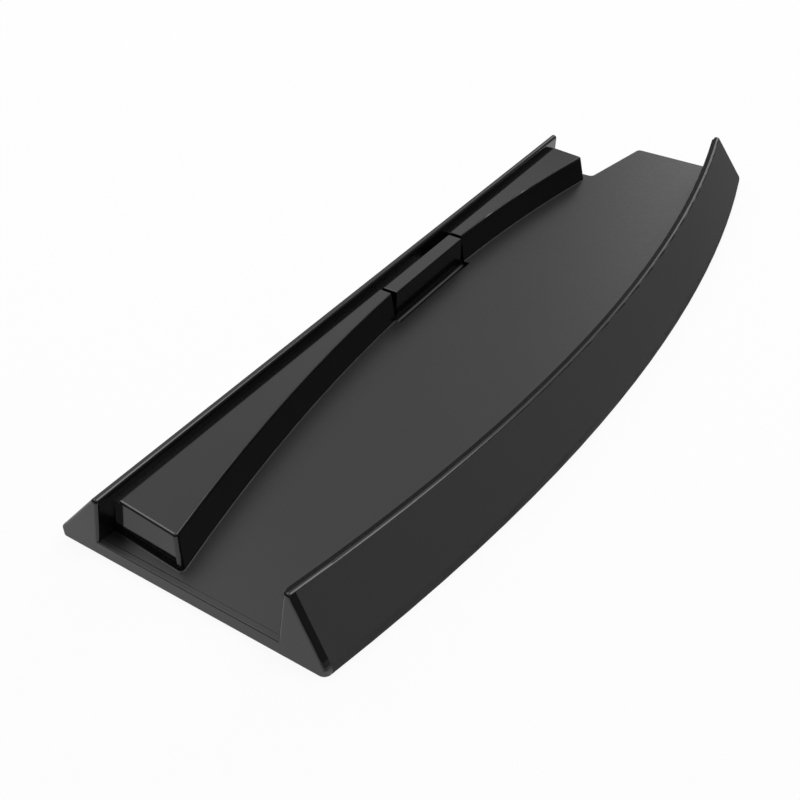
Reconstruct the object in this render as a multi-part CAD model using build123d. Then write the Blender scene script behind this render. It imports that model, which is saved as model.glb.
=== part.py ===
"""Vertical stand for a game console, moulded in one piece.

A thin floor joins two wedge-shaped side walls. The left wall is straight and carries a long
block whose face is hollowed to the console's curved side. The right wall bows outwards.
A springy tab in the middle of the block presses on the console. Below, the walls, the block
and the tab are hollow. Millimetres, +Z up, +Y from the front end to the back end.
"""
import os
from math import asin, cos, degrees, radians, sin, tan
from build123d import *

# Overall form
length = 281.5            # front end to back end
bulge = 15.4              # how far the right edge bows out half way along
floor_height = 2.8        # top of the floor the console stands on
end_lean = 9.5            # end faces lean inwards as they rise, degrees

# Side walls
left_height = 14.7
right_height = 16.8
foot_height = 1.8         # upright foot below the sloping outer faces
left_skirt = 10.9         # how far the outer faces slope out from top to foot
right_skirt = 11.2
wall_top = 1.7            # flat width along the top of both walls
left_overrun = 1.6        # back end of the left wall past the edge of the cut-out
lining = 0.6              # thicker inner part of the right wall
lining_setback = 1.3      # from the wall's ends to where the lining starts
lining_taper = 45.0       # how far the lining's ends turn away from square, degrees
lead_slope = 25.0         # slope along the lining's top that leads the console in, degrees
lead_bite = 1.0           # how far that slope runs onto the wall's top

# Space for the console
console_thickness = 61.5  # at its thickest, half way along
console_play = 0.45
block_hollow = 16.4       # depth of the block's hollow face over the full length

# Block along the left wall
block_height = 12.05
block_thin = 5.55         # thickness half way along, where it is thinnest
block_draft = 10.3        # hollow face leans back as it rises, degrees
block_setback = 5.8       # front edge of the floor to the foot of the block
block_end_margin = 2.1    # far foot of the block to the edge of the cut-out
front_skew = 4.0          # end faces of the block turn away from square, degrees
back_skew = 8.5
groove_width = 1.95       # shallow groove between the wall and the block's top
groove_depth = 0.5

# Springy tab in the middle of the block
tab_length = 40.3
tab_slit = 1.5            # slit at each end of the tab
tab_wall = 2.0            # thickness of the springy upright and of its top
tab_reach = 1.45          # face of the tab past the block's hollow face
tab_foot = 0.95           # radius of the hollow round at the foot of the tab
tab_drop = 1.3            # foot of the tab below the floor's top
pocket_depth = 1.95       # pocket in the floor along the foot of the tab
pocket_width = 2.8

# Cut-out at the back left corner
cutout_depth = 34.1       # from the back edge
cutout_inner = 29.75      # from the left edge, at the bottom of the cut-out
cutout_outer = 35.8       # from the left edge, at the back edge

# Low bead along the front edge of the floor
bead_rise = 0.35
bead_width = 1.9

# Underside
skin = 2.0                # wall thickness around the hollows
rib = 1.6
hollow_tip = 1.5          # width left at the top of the walls' hollows
left_bays = 6
right_bays = 7
block_bays = 3            # in each half of the block

# Rounded edges
left_rim = 1.15           # along the top of the left wall, towards the console
outer_rim = 1.0           # along the tops of the walls, above the sloping faces
foot_bend = 3.0           # between the upright foot and the sloping outer face
front_round = 0.85        # around the front end faces of the walls
back_round = 0.4          # around the back end faces of the walls
rim_limit = 0.9           # the ends are rounded over the rim, so their radius stays below the rim's
foot_corner = 2.0         # corners of the walls' feet, seen from above
block_corner = 1.0        # upright corners of the block
block_round = 0.8         # around the top of the block
tab_round = 0.4           # around the top of the tab
bead_round = 0.3          # along the front bead
foot_round = 0.35         # where the block meets the floor
floor_round = 0.4         # back and cut-out edges of the floor
corner_round = 1.8        # corners of the cut-out, seen from above

# Places across the stand, measured from its left edge
half = length / 2
left_face = left_skirt + wall_top
block_middle = left_face + block_thin
right_face = block_middle + console_thickness + console_play
wall_face = right_face + lining
right_top = wall_face + wall_top
edge_middle = right_top + right_skirt
edge_end = edge_middle - bulge
groove_edge = left_face + groove_width
tab_front = block_middle + tab_reach
tab_back = tab_front - tab_wall
pocket_edge = tab_front + pocket_width

# Places along the stand, measured from its middle
cutout_edge = half - cutout_depth
block_front = block_setback - half
block_back = cutout_edge - block_end_margin
left_back = cutout_edge + left_overrun
tab_half = tab_length / 2
opening_half = tab_half + tab_slit

# The right wall and the block's hollow face are turned about two upright axes
edge_radius = (half**2 + bulge**2) / (2 * bulge)
wall_axis = Axis((edge_middle - edge_radius, 0, 0), (0, 0, 1))
hollow_radius = (half**2 + block_hollow**2) / (2 * block_hollow)
hollow_axis_x = block_middle + hollow_radius

tiny = 0.001
overlap = 1.0             # how far pieces of the form run into each other before joining
beyond = 5.0              # how far cutting shapes run past what they cut


def end_plane(place, facing, lean=end_lean, skew=0.0):
    """Plane of an end face through a point: facing -1 looks to the front, +1 to the back."""
    level = facing * cos(radians(lean))
    outwards = (level * sin(radians(skew)), level * cos(radians(skew)), sin(radians(lean)))
    return Plane(origin=place, z_dir=outwards)


def trim(shape, *planes):
    """Keep the part of a shape behind all the planes."""
    for plane in planes:
        shape = split(shape, bisect_by=plane, keep=Keep.BOTTOM)
    return shape


def section(*points):
    """Upright section across the stand, from (x, z) points."""
    return Plane.XZ * make_face(Polyline(*points, close=True))


def along(profile, start, end):
    """Straight run of a section along the stand."""
    return extrude(Pos(0, start, 0) * profile, end - start, dir=(0, 1, 0))


def around(profile, start, end):
    """Curved run of a section about the right wall's axis, between two angles."""
    return revolve(profile, wall_axis, end - start).rotate(wall_axis, start)


def box(x0, x1, y0, y1, z0, z1):
    """Block between two corners."""
    return Pos(x0, y0, z0) * Box(x1 - x0, y1 - y0, z1 - z0, align=Align.MIN)


def console_space(z0, z1, into_block=0.0):
    """Turned space that hollows the block's face, taken deeper into the block by a thickness."""
    slope = tan(radians(block_draft))
    low = hollow_radius - (block_height - z0) * slope + into_block
    high = hollow_radius - (block_height - z1) * slope + into_block
    centred = (Align.CENTER, Align.CENTER, Align.MIN)
    return Pos(hollow_axis_x, 0, z0) * Cone(low, high, z1 - z0, align=centred)


def level_edges(shape, z):
    """Edges that lie level at a height."""
    edges = shape.edges().filter_by_position(Axis.Z, z - tiny, z + tiny)
    return edges.filter_by(lambda edge: edge.bounding_box().size.Z < tiny)


def rounded(flat, corner, radius):
    """Flat section with one corner rounded."""
    return fillet(flat.vertices().sort_by_distance(corner)[0], radius)


def wall_section(foot, top, face, height):
    """Flat wedge section of a side wall, with its bend and its outer rim rounded."""
    corners = (foot, 0), (foot, foot_height), (top, height), (face, height), (face, 0)
    flat = make_face(Polyline(*corners, close=True))
    return rounded(rounded(flat, (foot, foot_height), foot_bend), (top, height), outer_rim)


def round_ends(wall):
    """Round the edges of both end faces of a wall, all but the bottom edges."""
    for end, radius in (0, front_round), (-1, back_round):
        outline = wall.faces().sort_by(Axis.Y)[end].edges()
        bottom = outline.sort_by(Axis.Z)[0]
        wall = fillet(outline - [bottom], min(radius, outer_rim * rim_limit))
    return wall


def round_foot(wall, outline, foot_points):
    """Round the corners of a wall's foot, seen from above, inside its outline on the table."""
    corners = [outline.vertices().sort_by_distance(point)[0] for point in foot_points]
    return wall & extrude(fillet(corners, foot_corner), right_height + left_height)


front_plane = end_plane((0, -half, 0), -1)
back_plane = end_plane((0, half, 0), 1)
left_plane = end_plane((0, left_back, 0), 1, lean=0)


def left_wall():
    """Straight wedge along the left side."""
    flat = rounded(wall_section(0, left_skirt, left_face, left_height), (left_face, left_height), left_rim)
    wall = along(Plane.XZ * flat, -half - beyond, half + beyond)
    wall = round_ends(trim(wall, front_plane, left_plane))
    front, back = -half - tiny, left_back + tiny
    inside = left_face + overlap
    outline = make_face(Polyline((0, front), (inside, front), (inside, back), (0, back), close=True))
    return round_foot(wall, outline, [(0, front), (0, back)])


def right_wall():
    """Bowed wedge along the right side."""
    reach = degrees(asin(half / edge_radius)) + 1
    profile = Plane.XZ * wall_section(edge_middle, right_top, wall_face, right_height)
    wall = round_ends(trim(around(profile, -reach, reach), front_plane, back_plane))
    sweep = degrees(asin((half + tiny) / edge_radius))
    edge = CenterArc((wall_axis.position.X, 0), edge_radius, -sweep, 2 * sweep)
    outline = make_face([edge, Polyline(edge @ 1, (0, half + tiny), (0, -half - tiny), edge @ 0)])
    return round_foot(wall, outline, [edge @ 0, edge @ 1])


def right_lining():
    """Thicker inner part of the bowed wall, with ends that taper into the wall."""
    seat = wall_face + lead_bite
    profile = section((right_face, 0), (right_face, right_height), (seat, right_height), (seat, 0))
    reach = degrees(asin(half / edge_radius)) + 1
    axis_x = wall_axis.position.X
    face_end = axis_x + ((wall_face - axis_x) ** 2 - half**2) ** 0.5
    ends = [end_plane((face_end, facing * (half - lining_setback), 0), facing, skew=-facing * lining_taper)
            for facing in (-1, 1)]
    return trim(around(profile, -reach, reach), *ends)


def lead_in():
    """What is cut off above the slope that leads the console in."""
    inner = right_face - overlap
    ridge = wall_face + lead_bite
    low = right_height - (ridge - inner) * tan(radians(lead_slope))
    reach = degrees(asin(half / edge_radius)) + 1
    return around(section((inner, low), (ridge, right_height), (inner, right_height + overlap)), -reach, reach)


def floor():
    """Flat floor between the walls, with the corner cut out at the back left."""
    near = left_face - overlap
    far = half + beyond
    radius = wall_face + overlap - wall_axis.position.X
    sweep = degrees(asin(far / radius))
    right = CenterArc((wall_axis.position.X, 0), radius, -sweep, 2 * sweep)
    slant = (cutout_outer - cutout_inner) / cutout_depth
    rest = Polyline(right @ 1, (cutout_outer + beyond * slant, far), (cutout_inner, cutout_edge),
                    (near, cutout_edge), (near, -far), right @ 0)
    outline = make_face([right, rest])
    inner_corner = outline.vertices().sort_by_distance((cutout_inner, cutout_edge))[0]
    outline = fillet(inner_corner, corner_round)
    plate = trim(extrude(outline, floor_height), front_plane, back_plane)
    back_corner = plate.edges().sort_by_distance((cutout_outer, half, floor_height / 2))[0]
    plate = fillet(back_corner, corner_round)
    back_rim = level_edges(plate, floor_height)
    back_rim = back_rim.filter_by(lambda edge: edge.bounding_box().min.Y > cutout_edge - tiny)
    return fillet(back_rim, floor_round)


def block_planes(inset=0.0):
    """End faces of the block, moved into it by a thickness."""
    move = inset / cos(radians(end_lean))
    front = end_plane((groove_edge, block_front + move, floor_height), -1, skew=front_skew)
    back = end_plane((groove_edge, block_back - move, floor_height), 1, skew=back_skew)
    return front, back


def block():
    """Block along the left wall, before the place for the tab is cut out of it."""
    start = left_face - overlap
    solid = box(start, edge_end, -half, half, floor_height - overlap, block_height)
    solid -= console_space(0, right_height)
    solid = trim(solid, *block_planes())
    corners = solid.edges().filter_by(lambda edge: abs((edge @ 1 - edge @ 0).Z) > block_height / 2)
    corners = corners.filter_by(lambda edge: (edge @ 0).X > groove_edge)
    solid = fillet(corners, block_corner)
    rim = level_edges(solid, block_height).filter_by(lambda edge: edge.bounding_box().max.X > groove_edge)
    return fillet(rim, block_round)


def floor_with_block():
    """Floor and block joined, with a rounded foot all along."""
    plate = floor()
    solid = plate + block()
    outline = plate.faces().sort_by(Axis.Z)[-1].outer_wire()
    foot = level_edges(solid, floor_height).filter_by(lambda edge: outline.distance_to(edge @ 0.5) > tiny)
    solid = fillet(foot, foot_round)
    groove = box(0, groove_edge, -half, half, block_height - groove_depth, right_height)
    opening = box(0, pocket_edge, -opening_half, opening_half, floor_height, right_height)
    return solid - groove - opening


def front_bead():
    """Low bead along the front edge of the floor."""
    inner = bead_width - half + floor_height * tan(radians(end_lean))
    right = edge_end - right_skirt - wall_top + overlap
    top = floor_height + bead_rise
    bead = box(left_face - overlap, right, -half - beyond, inner, floor_height - overlap, top)
    bead = trim(bead, front_plane)
    return fillet(level_edges(bead, top).filter_by(Axis.X), bead_round)


def tab():
    """Springy tab between two slits, before it is hollowed from below."""
    solid = box(groove_edge, tab_front, -tab_half, tab_half, floor_height - overlap, block_height)
    return fillet(level_edges(solid, block_height), tab_round)


def tab_pocket():
    """Pocket in the floor along the tab's rounded foot, which leaves a thin hinge below it."""
    ledge = floor_height - tab_drop
    low = floor_height - pocket_depth
    top = floor_height + overlap
    toe = tab_front + tab_foot
    foot = CenterArc((toe, ledge + tab_foot), tab_foot, 180, 90)
    rest = Polyline(foot @ 1, (toe, low), (pocket_edge, low), (pocket_edge, top), (tab_front, top), foot @ 0)
    return along(Plane.XZ * make_face([foot, rest]), -opening_half, opening_half)


def tab_hollow():
    """Space below the tab's top and behind its upright."""
    return box(groove_edge, tab_back, -tab_half, tab_half, -overlap, block_height - tab_wall)


def wall_hollow(height, skirt, top_width):
    """Corners of a wall's hollow: distances from the outer foot, and heights."""
    slope = skirt / (height - foot_height)
    outer = skin * (1 + slope**2) ** 0.5
    face = skirt + top_width - skin
    low = max(foot_height + (skin - outer) / slope, tiny)
    top = foot_height + (face - hollow_tip - outer) / slope
    return [(skin, -overlap), (skin, low), (face - hollow_tip, top), (face, top), (face, -overlap)]


def bays(start, end, count, gap):
    """Equal bays between two places, with a gap between neighbours."""
    bay = (end - start - (count - 1) * gap) / count
    return [(start + i * (bay + gap), start + i * (bay + gap) + bay) for i in range(count)]


def left_hollows():
    """Ribbed hollow under the left wall."""
    profile = section(*wall_hollow(left_height, left_skirt, wall_top))
    start = skin - half + left_height * tan(radians(end_lean))
    return [along(profile, *bay) for bay in bays(start, left_back - skin, left_bays, rib)]


def right_hollows():
    """Ribbed hollow under the right wall."""
    corners = wall_hollow(right_height, right_skirt, wall_top + lining)
    profile = section(*[(edge_middle - out, up) for out, up in corners])
    reach = degrees(asin((half - skin - right_height * tan(radians(end_lean))) / edge_radius))
    return [around(profile, *bay) for bay in bays(-reach, reach, right_bays, degrees(rib / edge_radius))]


def block_hollows():
    """Ribbed hollow under each half of the block."""
    roof = block_height - groove_depth - skin
    space = box(left_face, edge_end, -half, half, -overlap, roof)
    space -= console_space(-overlap, right_height, skin)
    space = trim(space, *block_planes(skin))
    ends = space.bounding_box()
    inner = opening_half + skin
    halves = bays(ends.min.Y, -inner, block_bays, rib) + bays(inner, ends.max.Y, block_bays, rib)
    return [space & box(0, edge_end, start, end, -overlap, roof) for start, end in halves]


def stand():
    """The whole moulding, standing on its foot, centred left to right and front to back."""
    solid = floor_with_block() + left_wall() + right_wall() + right_lining() + front_bead() + tab()
    solid = solid - lead_in() - tab_pocket() - tab_hollow()
    solid = solid - left_hollows() - right_hollows() - block_hollows()
    return Pos(-edge_middle / 2, 0, 0) * solid


body = stand()
print("stand_body", body.is_valid, round(body.volume), "mm3", len(body.solids()), "solid")
os.makedirs("parts", exist_ok=True)
export_step(body, "parts/stand_body.step")
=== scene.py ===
# %% [markdown]
# # Console vertical stand, dressed for its picture
# The stand is one moulding in black plastic: a thin floor between two wedge-shaped walls, a long
# block along the left wall and a springy tab in the middle of the block. Every form is in the
# solid, so nothing is modelled again here. What is left for this script is the finish of the
# plastic, the white table and the light, because a black satin part is seen mostly by what its
# faces mirror.

# %% Load the stand
from math import cos, pi, radians, sin, tan
import bpy
from mathutils import Matrix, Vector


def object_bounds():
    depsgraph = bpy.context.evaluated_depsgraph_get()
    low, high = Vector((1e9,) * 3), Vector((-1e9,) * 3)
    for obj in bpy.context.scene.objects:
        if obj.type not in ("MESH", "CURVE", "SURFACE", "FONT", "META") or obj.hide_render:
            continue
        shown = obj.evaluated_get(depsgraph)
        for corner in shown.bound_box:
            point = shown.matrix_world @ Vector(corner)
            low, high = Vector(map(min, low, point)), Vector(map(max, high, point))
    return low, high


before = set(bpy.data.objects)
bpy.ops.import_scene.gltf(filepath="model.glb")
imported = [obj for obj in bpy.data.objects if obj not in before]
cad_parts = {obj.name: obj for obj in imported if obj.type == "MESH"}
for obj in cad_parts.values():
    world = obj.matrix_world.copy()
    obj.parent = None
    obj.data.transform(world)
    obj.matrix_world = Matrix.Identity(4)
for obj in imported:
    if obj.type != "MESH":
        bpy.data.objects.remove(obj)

cad_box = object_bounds()
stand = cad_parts["stand_body"]
print("stand", [round(1000 * (high - low), 2) for low, high in zip(*cad_box)], "mm")

# %% [markdown]
# The camera stands in front of the stand's right corner and looks down on it by 38 degrees. It
# could be set by eye, but its place, turn and lens come from lining up the stand's straight edges
# and corners with the picture. That gives a short distance and so a strong perspective: the near
# end looks nearly twice as wide as the far one.

# %% Camera
IMAGE_SIZE = 800                                 # pixels
FOCAL_PIXELS = 1022.1                            # focal length in the same pixels
CAMERA_PLACE = 0.11233, -0.246545, 0.179134
TURN, LOOK_DOWN, ROLL = 31.269, 38.148, 1.389    # degrees
NEAREST, FARTHEST = 0.01, 50.0                   # what the camera shows

view = bpy.data.cameras.new("view")
view.lens = view.sensor_width * FOCAL_PIXELS / IMAGE_SIZE
view.clip_start, view.clip_end = NEAREST, FARTHEST
camera = bpy.data.objects.new("camera", view)
bpy.context.scene.collection.objects.link(camera)
bpy.context.scene.camera = camera
turn = Matrix.Rotation(radians(TURN), 4, "Z")
tilt = Matrix.Rotation(radians(90 - LOOK_DOWN), 4, "X")
roll = Matrix.Rotation(radians(ROLL), 4, "Z")
camera.matrix_world = Matrix.Translation(CAMERA_PLACE) @ turn @ tilt @ roll
print("camera", [round(v, 3) for v in camera.location], "lens", round(view.lens, 2), "mm")

# %% [markdown]
# The plastic is black ABS, coloured right through with carbon black, so next to no light comes back
# out of it and what shows is the skin of the moulding. That skin copies the steel of the mould. The
# steel for the block, the tab, the rims and the ends of the walls is polished: edges show as crisp
# bright lines and the block's front mirrors the table. The floor's steel is spark-eroded to a very
# fine grain, so the floor is matter and the block only darkens it softly. The outer faces have the
# coarsest grain, so that fingers and scratches don't show, and they look nearly the same grey all
# along. One material with several skins does this better than several materials, because the
# borders of the skins run across the faces of the solid.

# %% Plastic
def new_material(name):
    """An empty node material with its output."""
    material = bpy.data.materials.new(name)
    material.use_nodes = True
    tree = material.node_tree
    tree.nodes.clear()
    return material, tree, tree.nodes.new("ShaderNodeOutputMaterial")


ABS_IOR = 1.54
plastic, tree, output = new_material("black_plastic")
shader = tree.nodes.new("ShaderNodeBsdfPrincipled")
shader.inputs["IOR"].default_value = ABS_IOR
tree.links.new(shader.outputs["BSDF"], output.inputs["Surface"])

place = tree.nodes.new("ShaderNodeTexCoord").outputs["Object"]
where = tree.nodes.new("ShaderNodeSeparateXYZ")
tree.links.new(place, where.inputs["Vector"])
facing = tree.nodes.new("ShaderNodeSeparateXYZ")
normal = tree.nodes.new("ShaderNodeNewGeometry").outputs["Normal"]
tree.links.new(normal, facing.inputs["Vector"])
print("plastic", plastic.name, "IOR", ABS_IOR)

# %% [markdown]
# The skins are told apart by place and by the way the surface faces. They could be painted on the
# mesh, but a rule made of a few limits stays right when the solid's facets change. The floor's
# skin is what lies low and faces more or less up: the floor itself with its bead, its pocket and
# the rounded foot of the block.

# %% Where the floor's skin is
def spread(tree, value, start, end, low, high):
    """A value between start and end spread over the range from low to high."""
    node = tree.nodes.new("ShaderNodeMapRange")
    for socket, number in zip(("From Min", "From Max", "To Min", "To Max"), (start, end, low, high)):
        node.inputs[socket].default_value = number
    tree.links.new(value, node.inputs["Value"])
    return node.outputs["Result"]


def product(tree, *values):
    """Values multiplied together, for masks that must hold at once."""
    result = values[0]
    for value in values[1:]:
        node = tree.nodes.new("ShaderNodeMath")
        node.operation = "MULTIPLY"
        tree.links.new(result, node.inputs[0])
        tree.links.new(value, node.inputs[1])
        result = node.outputs["Value"]
    return result


BORDER = 0.0002           # width over which one skin changes into the next
FLOOR_LIMIT = 0.0035      # just above the floor's top
UPWARD = 0.25, 0.35       # how far up the normal points where the floor's skin starts
floor = product(tree, spread(tree, where.outputs["Z"], FLOOR_LIMIT, FLOOR_LIMIT + BORDER, 1, 0),
                spread(tree, facing.outputs["Z"], *UPWARD, 0, 1))
print("floor skin up to", 1000 * FLOOR_LIMIT, "mm")

# %% [markdown]
# The outer skin covers the two outer faces, which slope outwards beyond the tops of the walls, and
# the low upright strip at their foot. As on most grained mouldings, the grain stops a little short
# of the near end, which leaves a narrow polished strip along that edge. The strip leans with the
# end face, so the distance from the end is measured along a leaning direction.

# %% Where the outer skin is
LEFT_TOP, RIGHT_TOP = -0.0345, 0.0150    # outer edges of the two wall tops
TOP_BORDER = 0.0005
LEFTWARD, RIGHTWARD = (-0.6, -0.5), (0.5, 0.6)
STEEP = 0.70, 0.78                       # rims face up more than this and stay polished

left_side = product(tree, spread(tree, where.outputs["X"], LEFT_TOP - TOP_BORDER, LEFT_TOP, 1, 0),
                    spread(tree, facing.outputs["X"], *LEFTWARD, 1, 0))
right_side = product(tree, spread(tree, where.outputs["X"], RIGHT_TOP, RIGHT_TOP + TOP_BORDER, 0, 1),
                     spread(tree, facing.outputs["X"], *RIGHTWARD, 0, 1))
side = tree.nodes.new("ShaderNodeMath")
side.operation = "ADD"
tree.links.new(left_side, side.inputs[0])
tree.links.new(right_side, side.inputs[1])
steep_side = product(tree, side.outputs["Value"], spread(tree, facing.outputs["Z"], *STEEP, 1, 0))
print("outer skin left of", round(1000 * LEFT_TOP, 1), "and right of", round(1000 * RIGHT_TOP, 1), "mm")

# %% Where its grain stops
END_LEAN = 9.5            # degrees
GRAIN_STOP = 0.0020       # ungrained strip along the near end
along = tree.nodes.new("ShaderNodeVectorMath")
along.operation = "DOT_PRODUCT"
along.inputs[1].default_value = (0, 1, -tan(radians(END_LEAN)))
tree.links.new(place, along.inputs[0])
grain_start = cad_box[0][1] + GRAIN_STOP
past_strip = spread(tree, along.outputs["Value"], grain_start - BORDER, grain_start, 0, 1)
outer = product(tree, steep_side, past_strip)
print("grain stops", 1000 * GRAIN_STOP, "mm from the near end")

# %% [markdown]
# The front of the block is the best polished face of all: in the picture it mirrors the white table
# with a crisp edge, above a dark band that is the floor. The real face seems a little twisted, with
# its foot further forward on the left, and so it shows less of the left wall than a flat one does.
# The solid's face is flat. A few degrees of turn in its normal, less towards the right, put the
# mirrored edges where the picture has them. The turn fades out on the rounded corners.

# %% Where the block's front is
ZONE_LEFT, ZONE_RIGHT, ZONE_BACK = -0.0336, -0.0050, -0.1200    # room around the face
AHEAD = -0.96, -0.90                                            # rounded corners face ahead less
block_front = product(tree, spread(tree, facing.outputs["Y"], *AHEAD, 1, 0),
                      spread(tree, where.outputs["Z"], FLOOR_LIMIT, FLOOR_LIMIT + BORDER, 0, 1),
                      spread(tree, where.outputs["X"], ZONE_LEFT - BORDER, ZONE_LEFT, 0, 1),
                      spread(tree, where.outputs["X"], ZONE_RIGHT - BORDER, ZONE_RIGHT, 1, 0),
                      spread(tree, where.outputs["Y"], ZONE_BACK - BORDER, ZONE_BACK, 1, 0))
print("block's front between", round(1000 * ZONE_LEFT, 1), "and", round(1000 * ZONE_RIGHT, 1), "mm")

# %% Turn of the block's front
FACE_LEFT, FACE_RIGHT = -0.032, -0.013
LEFT_TURN = 0.13, 0.0, 0.10    # added to the normal at the left end: to the right and up
RIGHT_SHARE = 0.35             # share of that turn at the right end
twist = tree.nodes.new("ShaderNodeVectorMath")
twist.operation = "SCALE"
twist.inputs[0].default_value = LEFT_TURN
easing = spread(tree, where.outputs["X"], FACE_LEFT, FACE_RIGHT, 1, RIGHT_SHARE)
tree.links.new(product(tree, block_front, easing), twist.inputs["Scale"])
turned = tree.nodes.new("ShaderNodeVectorMath")
turned.operation = "ADD"
tree.links.new(normal, turned.inputs[0])
tree.links.new(twist.outputs["Vector"], turned.inputs[1])
unit = tree.nodes.new("ShaderNodeVectorMath")
unit.operation = "NORMALIZE"
tree.links.new(turned.outputs["Vector"], unit.inputs[0])
print("its normal turned by", LEFT_TURN, "on the left and", RIGHT_SHARE, "of that on the right")

# %% [markdown]
# A skin is mostly a roughness. It could be one number for each skin, but no moulding is quite even,
# so each roughness wanders a little with a fine noise.

# %% Roughness
def noise(tree, place, scale):
    """Noise over the part: scale is the number of blotches in a metre."""
    node = tree.nodes.new("ShaderNodeTexNoise")
    node.inputs["Scale"].default_value = scale
    tree.links.new(place, node.inputs["Vector"])
    return node.outputs["Fac"]


def blend(tree, factor, low, high):
    """A value that goes from low to high with a factor."""
    node = tree.nodes.new("ShaderNodeMix")
    tree.links.new(factor, node.inputs["Factor"])
    tree.links.new(low, node.inputs["A"])
    tree.links.new(high, node.inputs["B"])
    return node.outputs["Result"]


NOISE_SPAN = 0.3, 0.7     # where nearly all of the noise lies
SPECKLES = 900            # in a metre
MIRROR, POLISHED, FINE_GRAIN, COARSE_GRAIN = (0.06, 0.09), (0.17, 0.21), (0.36, 0.42), (0.94, 0.98)

speckle = noise(tree, place, SPECKLES)
mirror, polished, fine, coarse = (spread(tree, speckle, *NOISE_SPAN, *skin)
                                  for skin in (MIRROR, POLISHED, FINE_GRAIN, COARSE_GRAIN))
inner = blend(tree, floor, blend(tree, block_front, polished, mirror), fine)
tree.links.new(blend(tree, outer, inner, coarse), shader.inputs["Roughness"])
print("roughness", MIRROR, POLISHED, FINE_GRAIN, COARSE_GRAIN)

# %% [markdown]
# The plastic has one colour, but coarse grain scatters light before it gets in, so the outer faces
# look greyer than the polished ones. A lighter black on the same mask gives that. The polished faces
# get faint, wide clouds, as the pigment is never spread quite evenly.

# %% Colour
BLACK, GREYED = (0.0045, 0.0045, 0.0047, 1), (0.0340, 0.0340, 0.0350, 1)
CLOUDS = 45                                        # in a metre
CLOUD_GREY, GRAIN_GREY = (0.0, 0.04), (0.9, 1.0)   # shares of the greyed colour

clouds = spread(tree, noise(tree, place, CLOUDS), *NOISE_SPAN, *CLOUD_GREY)
grained = spread(tree, speckle, *NOISE_SPAN, *GRAIN_GREY)
shade = tree.nodes.new("ShaderNodeMix")
shade.data_type = "RGBA"
shade.inputs["A"].default_value = BLACK
shade.inputs["B"].default_value = GREYED
tree.links.new(blend(tree, outer, clouds, grained), shade.inputs["Factor"])
tree.links.new(shade.outputs["Result"], shader.inputs["Base Color"])
print("colour", BLACK[:3], "to", GREYED[:3])

# %% [markdown]
# The grain itself is about a third of a millimetre across and two thousandths deep. Modelled as
# facets it would take millions of them, so a bump carries it. It breaks up the mirrored light just
# enough to look moulded.

# %% Grain
GRAINS = 3500             # in a metre
GRAIN_DEPTH = 0.00002
GRAIN_STRENGTH = 0.1
grain = tree.nodes.new("ShaderNodeBump")
grain.inputs["Strength"].default_value = GRAIN_STRENGTH
grain.inputs["Distance"].default_value = GRAIN_DEPTH
tree.links.new(noise(tree, place, GRAINS), grain.inputs["Height"])
tree.links.new(unit.outputs["Vector"], grain.inputs["Normal"])
tree.links.new(grain.outputs["Normal"], shader.inputs["Normal"])

stand.material_slots[0].material = plastic
print("finish", plastic.name, "on", stand.name)

# %% [markdown]
# The stand lies on a white table that fills the picture. The table is a real white surface that
# takes the stand's shadow. To the camera, and in reflections and through clear things, it is lifted
# close to pure white, as in a catalogue picture, so only a faint contact shadow is left. More light
# would whiten the table too, but it would also wash out the black.

# %% Table
TABLE_SIZE = 4.4          # metres
TABLE_DROP = 0.0001       # keeps the table's top clear of the stand's underside
half = TABLE_SIZE / 2
sheet = bpy.data.meshes.new("table")
corners = [(-half, -half, 0), (half, -half, 0), (half, half, 0), (-half, half, 0)]
sheet.from_pydata(corners, [], [(0, 1, 2, 3)])
table = bpy.data.objects.new("table", sheet)
table.location.z = -TABLE_DROP
bpy.context.scene.collection.objects.link(table)
print("table", TABLE_SIZE, "m")

# %% White of the table
WHITE = 0.88, 0.88, 0.88, 1
LIFT = 0.9                # share of pure white where the table is seen
white, tree, output = new_material("white_table")
paint = tree.nodes.new("ShaderNodeBsdfDiffuse")
paint.inputs["Color"].default_value = WHITE
glow = tree.nodes.new("ShaderNodeEmission")
path = tree.nodes.new("ShaderNodeLightPath")
seen = path.outputs["Is Camera Ray"]
for ray in "Is Glossy Ray", "Is Transmission Ray":
    either = tree.nodes.new("ShaderNodeMath")
    either.operation = "MAXIMUM"
    tree.links.new(seen, either.inputs[0])
    tree.links.new(path.outputs[ray], either.inputs[1])
    seen = either.outputs["Value"]
mix = tree.nodes.new("ShaderNodeMixShader")
tree.links.new(spread(tree, seen, 0, 1, 0, LIFT), mix.inputs["Fac"])
tree.links.new(paint.outputs["BSDF"], mix.inputs[1])
tree.links.new(glow.outputs["Emission"], mix.inputs[2])
tree.links.new(mix.outputs["Shader"], output.inputs["Surface"])
sheet.materials.append(white)
print("finish", white.name, "on", table.name)

# %% [markdown]
# Black plastic is seen by what it mirrors, so glossy black things are photographed in a light tent,
# a dome of white cloth. An even white world would light every face alike and flatten the part. Here
# a wide patch overhead glows, which leans a little to the back left, and the skirt near the table is
# nearly dark. The floor and the top of the block mirror the patch and look grey, the sides mirror
# the skirt and look black. The tent hangs outside the picture, so the camera doesn't see it, only
# the white surround behind it.

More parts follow.
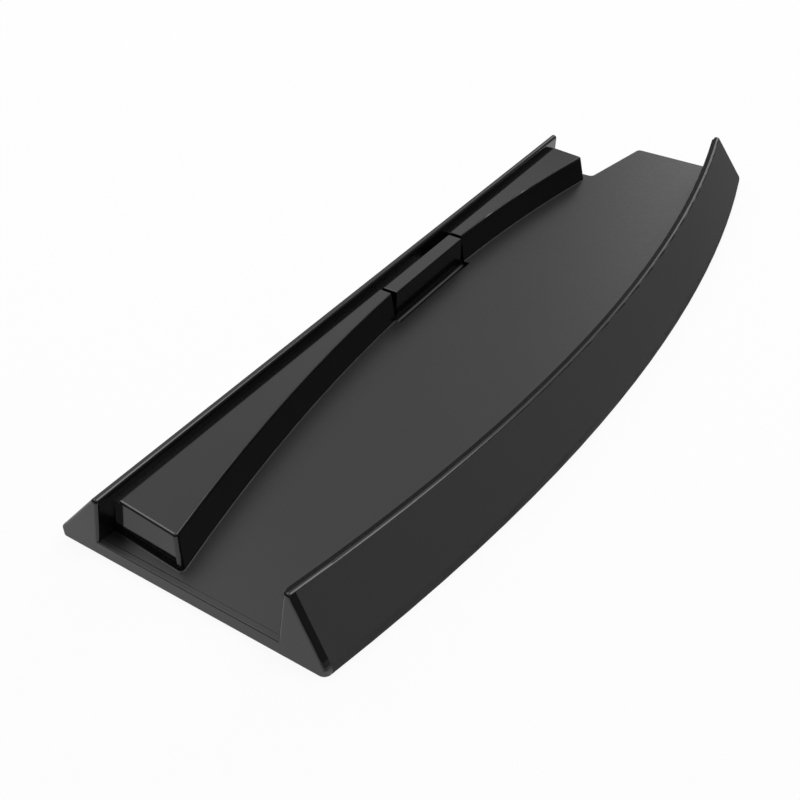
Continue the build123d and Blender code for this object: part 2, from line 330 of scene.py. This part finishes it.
# %% Light tent
TENT_RADIUS = 2.1         # metres
RINGS, SEGMENTS = 10, 40
points = [(0, 0, TENT_RADIUS)]
for ring in range(1, RINGS + 1):
    drop = radians(90 * ring / RINGS)
    reach, height = TENT_RADIUS * sin(drop), TENT_RADIUS * cos(drop)
    for step in range(SEGMENTS):
        around = radians(360 * step / SEGMENTS)
        points.append((reach * cos(around), reach * sin(around), height))
faces = []
for step in range(SEGMENTS):
    after = (step + 1) % SEGMENTS
    faces.append((0, 1 + step, 1 + after))
    for ring in range(RINGS - 1):
        upper, lower = 1 + ring * SEGMENTS, 1 + (ring + 1) * SEGMENTS
        faces.append((upper + step, lower + step, lower + after, upper + after))
cloth = bpy.data.meshes.new("tent")
cloth.from_pydata(points, [], faces)
tent = bpy.data.objects.new("tent", cloth)
bpy.context.scene.collection.objects.link(tent)
tent.visible_camera = False
print("tent", len(cloth.polygons), "panels")

# %% Glow of the tent
PATCH_AXIS = -0.22, 0.20, 0.95        # from the stand to the middle of the bright patch
SKIRT_TOP, PATCH_FOOT = 0.50, 0.76    # heights along that axis, as parts of the radius
SKIRT_GLOW, PATCH_GLOW = 0.10, 0.88
glowing, tree, output = new_material("tent_cloth")
glow = tree.nodes.new("ShaderNodeEmission")
rise = tree.nodes.new("ShaderNodeVectorMath")
rise.operation = "DOT_PRODUCT"
rise.inputs[1].default_value = PATCH_AXIS
tree.links.new(tree.nodes.new("ShaderNodeTexCoord").outputs["Object"], rise.inputs[0])
fall = spread(tree, rise.outputs["Value"], SKIRT_TOP * TENT_RADIUS, PATCH_FOOT * TENT_RADIUS,
              SKIRT_GLOW, PATCH_GLOW)
fall.node.interpolation_type = "SMOOTHSTEP"
tree.links.new(fall, glow.inputs["Color"])
tree.links.new(glow.outputs["Emission"], output.inputs["Surface"])
cloth.materials.append(glowing)
print("glow from", SKIRT_GLOW, "to", PATCH_GLOW)

# %% White surround
world = bpy.data.worlds.new("surround")
bpy.context.scene.world = world
world.use_nodes = True
world.node_tree.nodes["Background"].inputs["Color"].default_value = (1, 1, 1, 1)
print("world", world.name)

# %% [markdown]
# Three softboxes in the tent add what the patch can't. The one at the back right draws the bright
# line along the rim of the right wall, the one on the left draws the lines along the left wall and
# the block, and the low one at the back lights the far end of the floor, which is seen at a flatter
# angle. They are square, as softboxes are, and each is set by the brightness of its face, because
# that is what a mirror shows.

# %% Softboxes
def softbox(name, azimuth, elevation, distance, size, radiance):
    """A square lamp facing the stand: azimuth 0 is the front, 90 the right. Its face sets its power."""
    lamp = bpy.data.lights.new(name, "AREA")
    lamp.shape = "SQUARE"
    lamp.size = size
    lamp.energy = radiance * pi * size**2
    thing = bpy.data.objects.new(name, lamp)
    bpy.context.scene.collection.objects.link(thing)
    aim = Matrix.Rotation(radians(azimuth), 4, "Z") @ Matrix.Rotation(radians(90 - elevation), 4, "X")
    thing.matrix_world = aim @ Matrix.Translation((0, 0, distance))
    print("softbox", name, round(lamp.energy, 2), "W")


softbox("right", azimuth=140, elevation=62, distance=1.4, size=0.7, radiance=3.5)
softbox("left", azimuth=-88, elevation=57, distance=1.4, size=0.75, radiance=2.6)
softbox("back", azimuth=182, elevation=18, distance=1.5, size=0.75, radiance=1.1)
bpy.context.scene.view_settings.view_transform = "Standard"
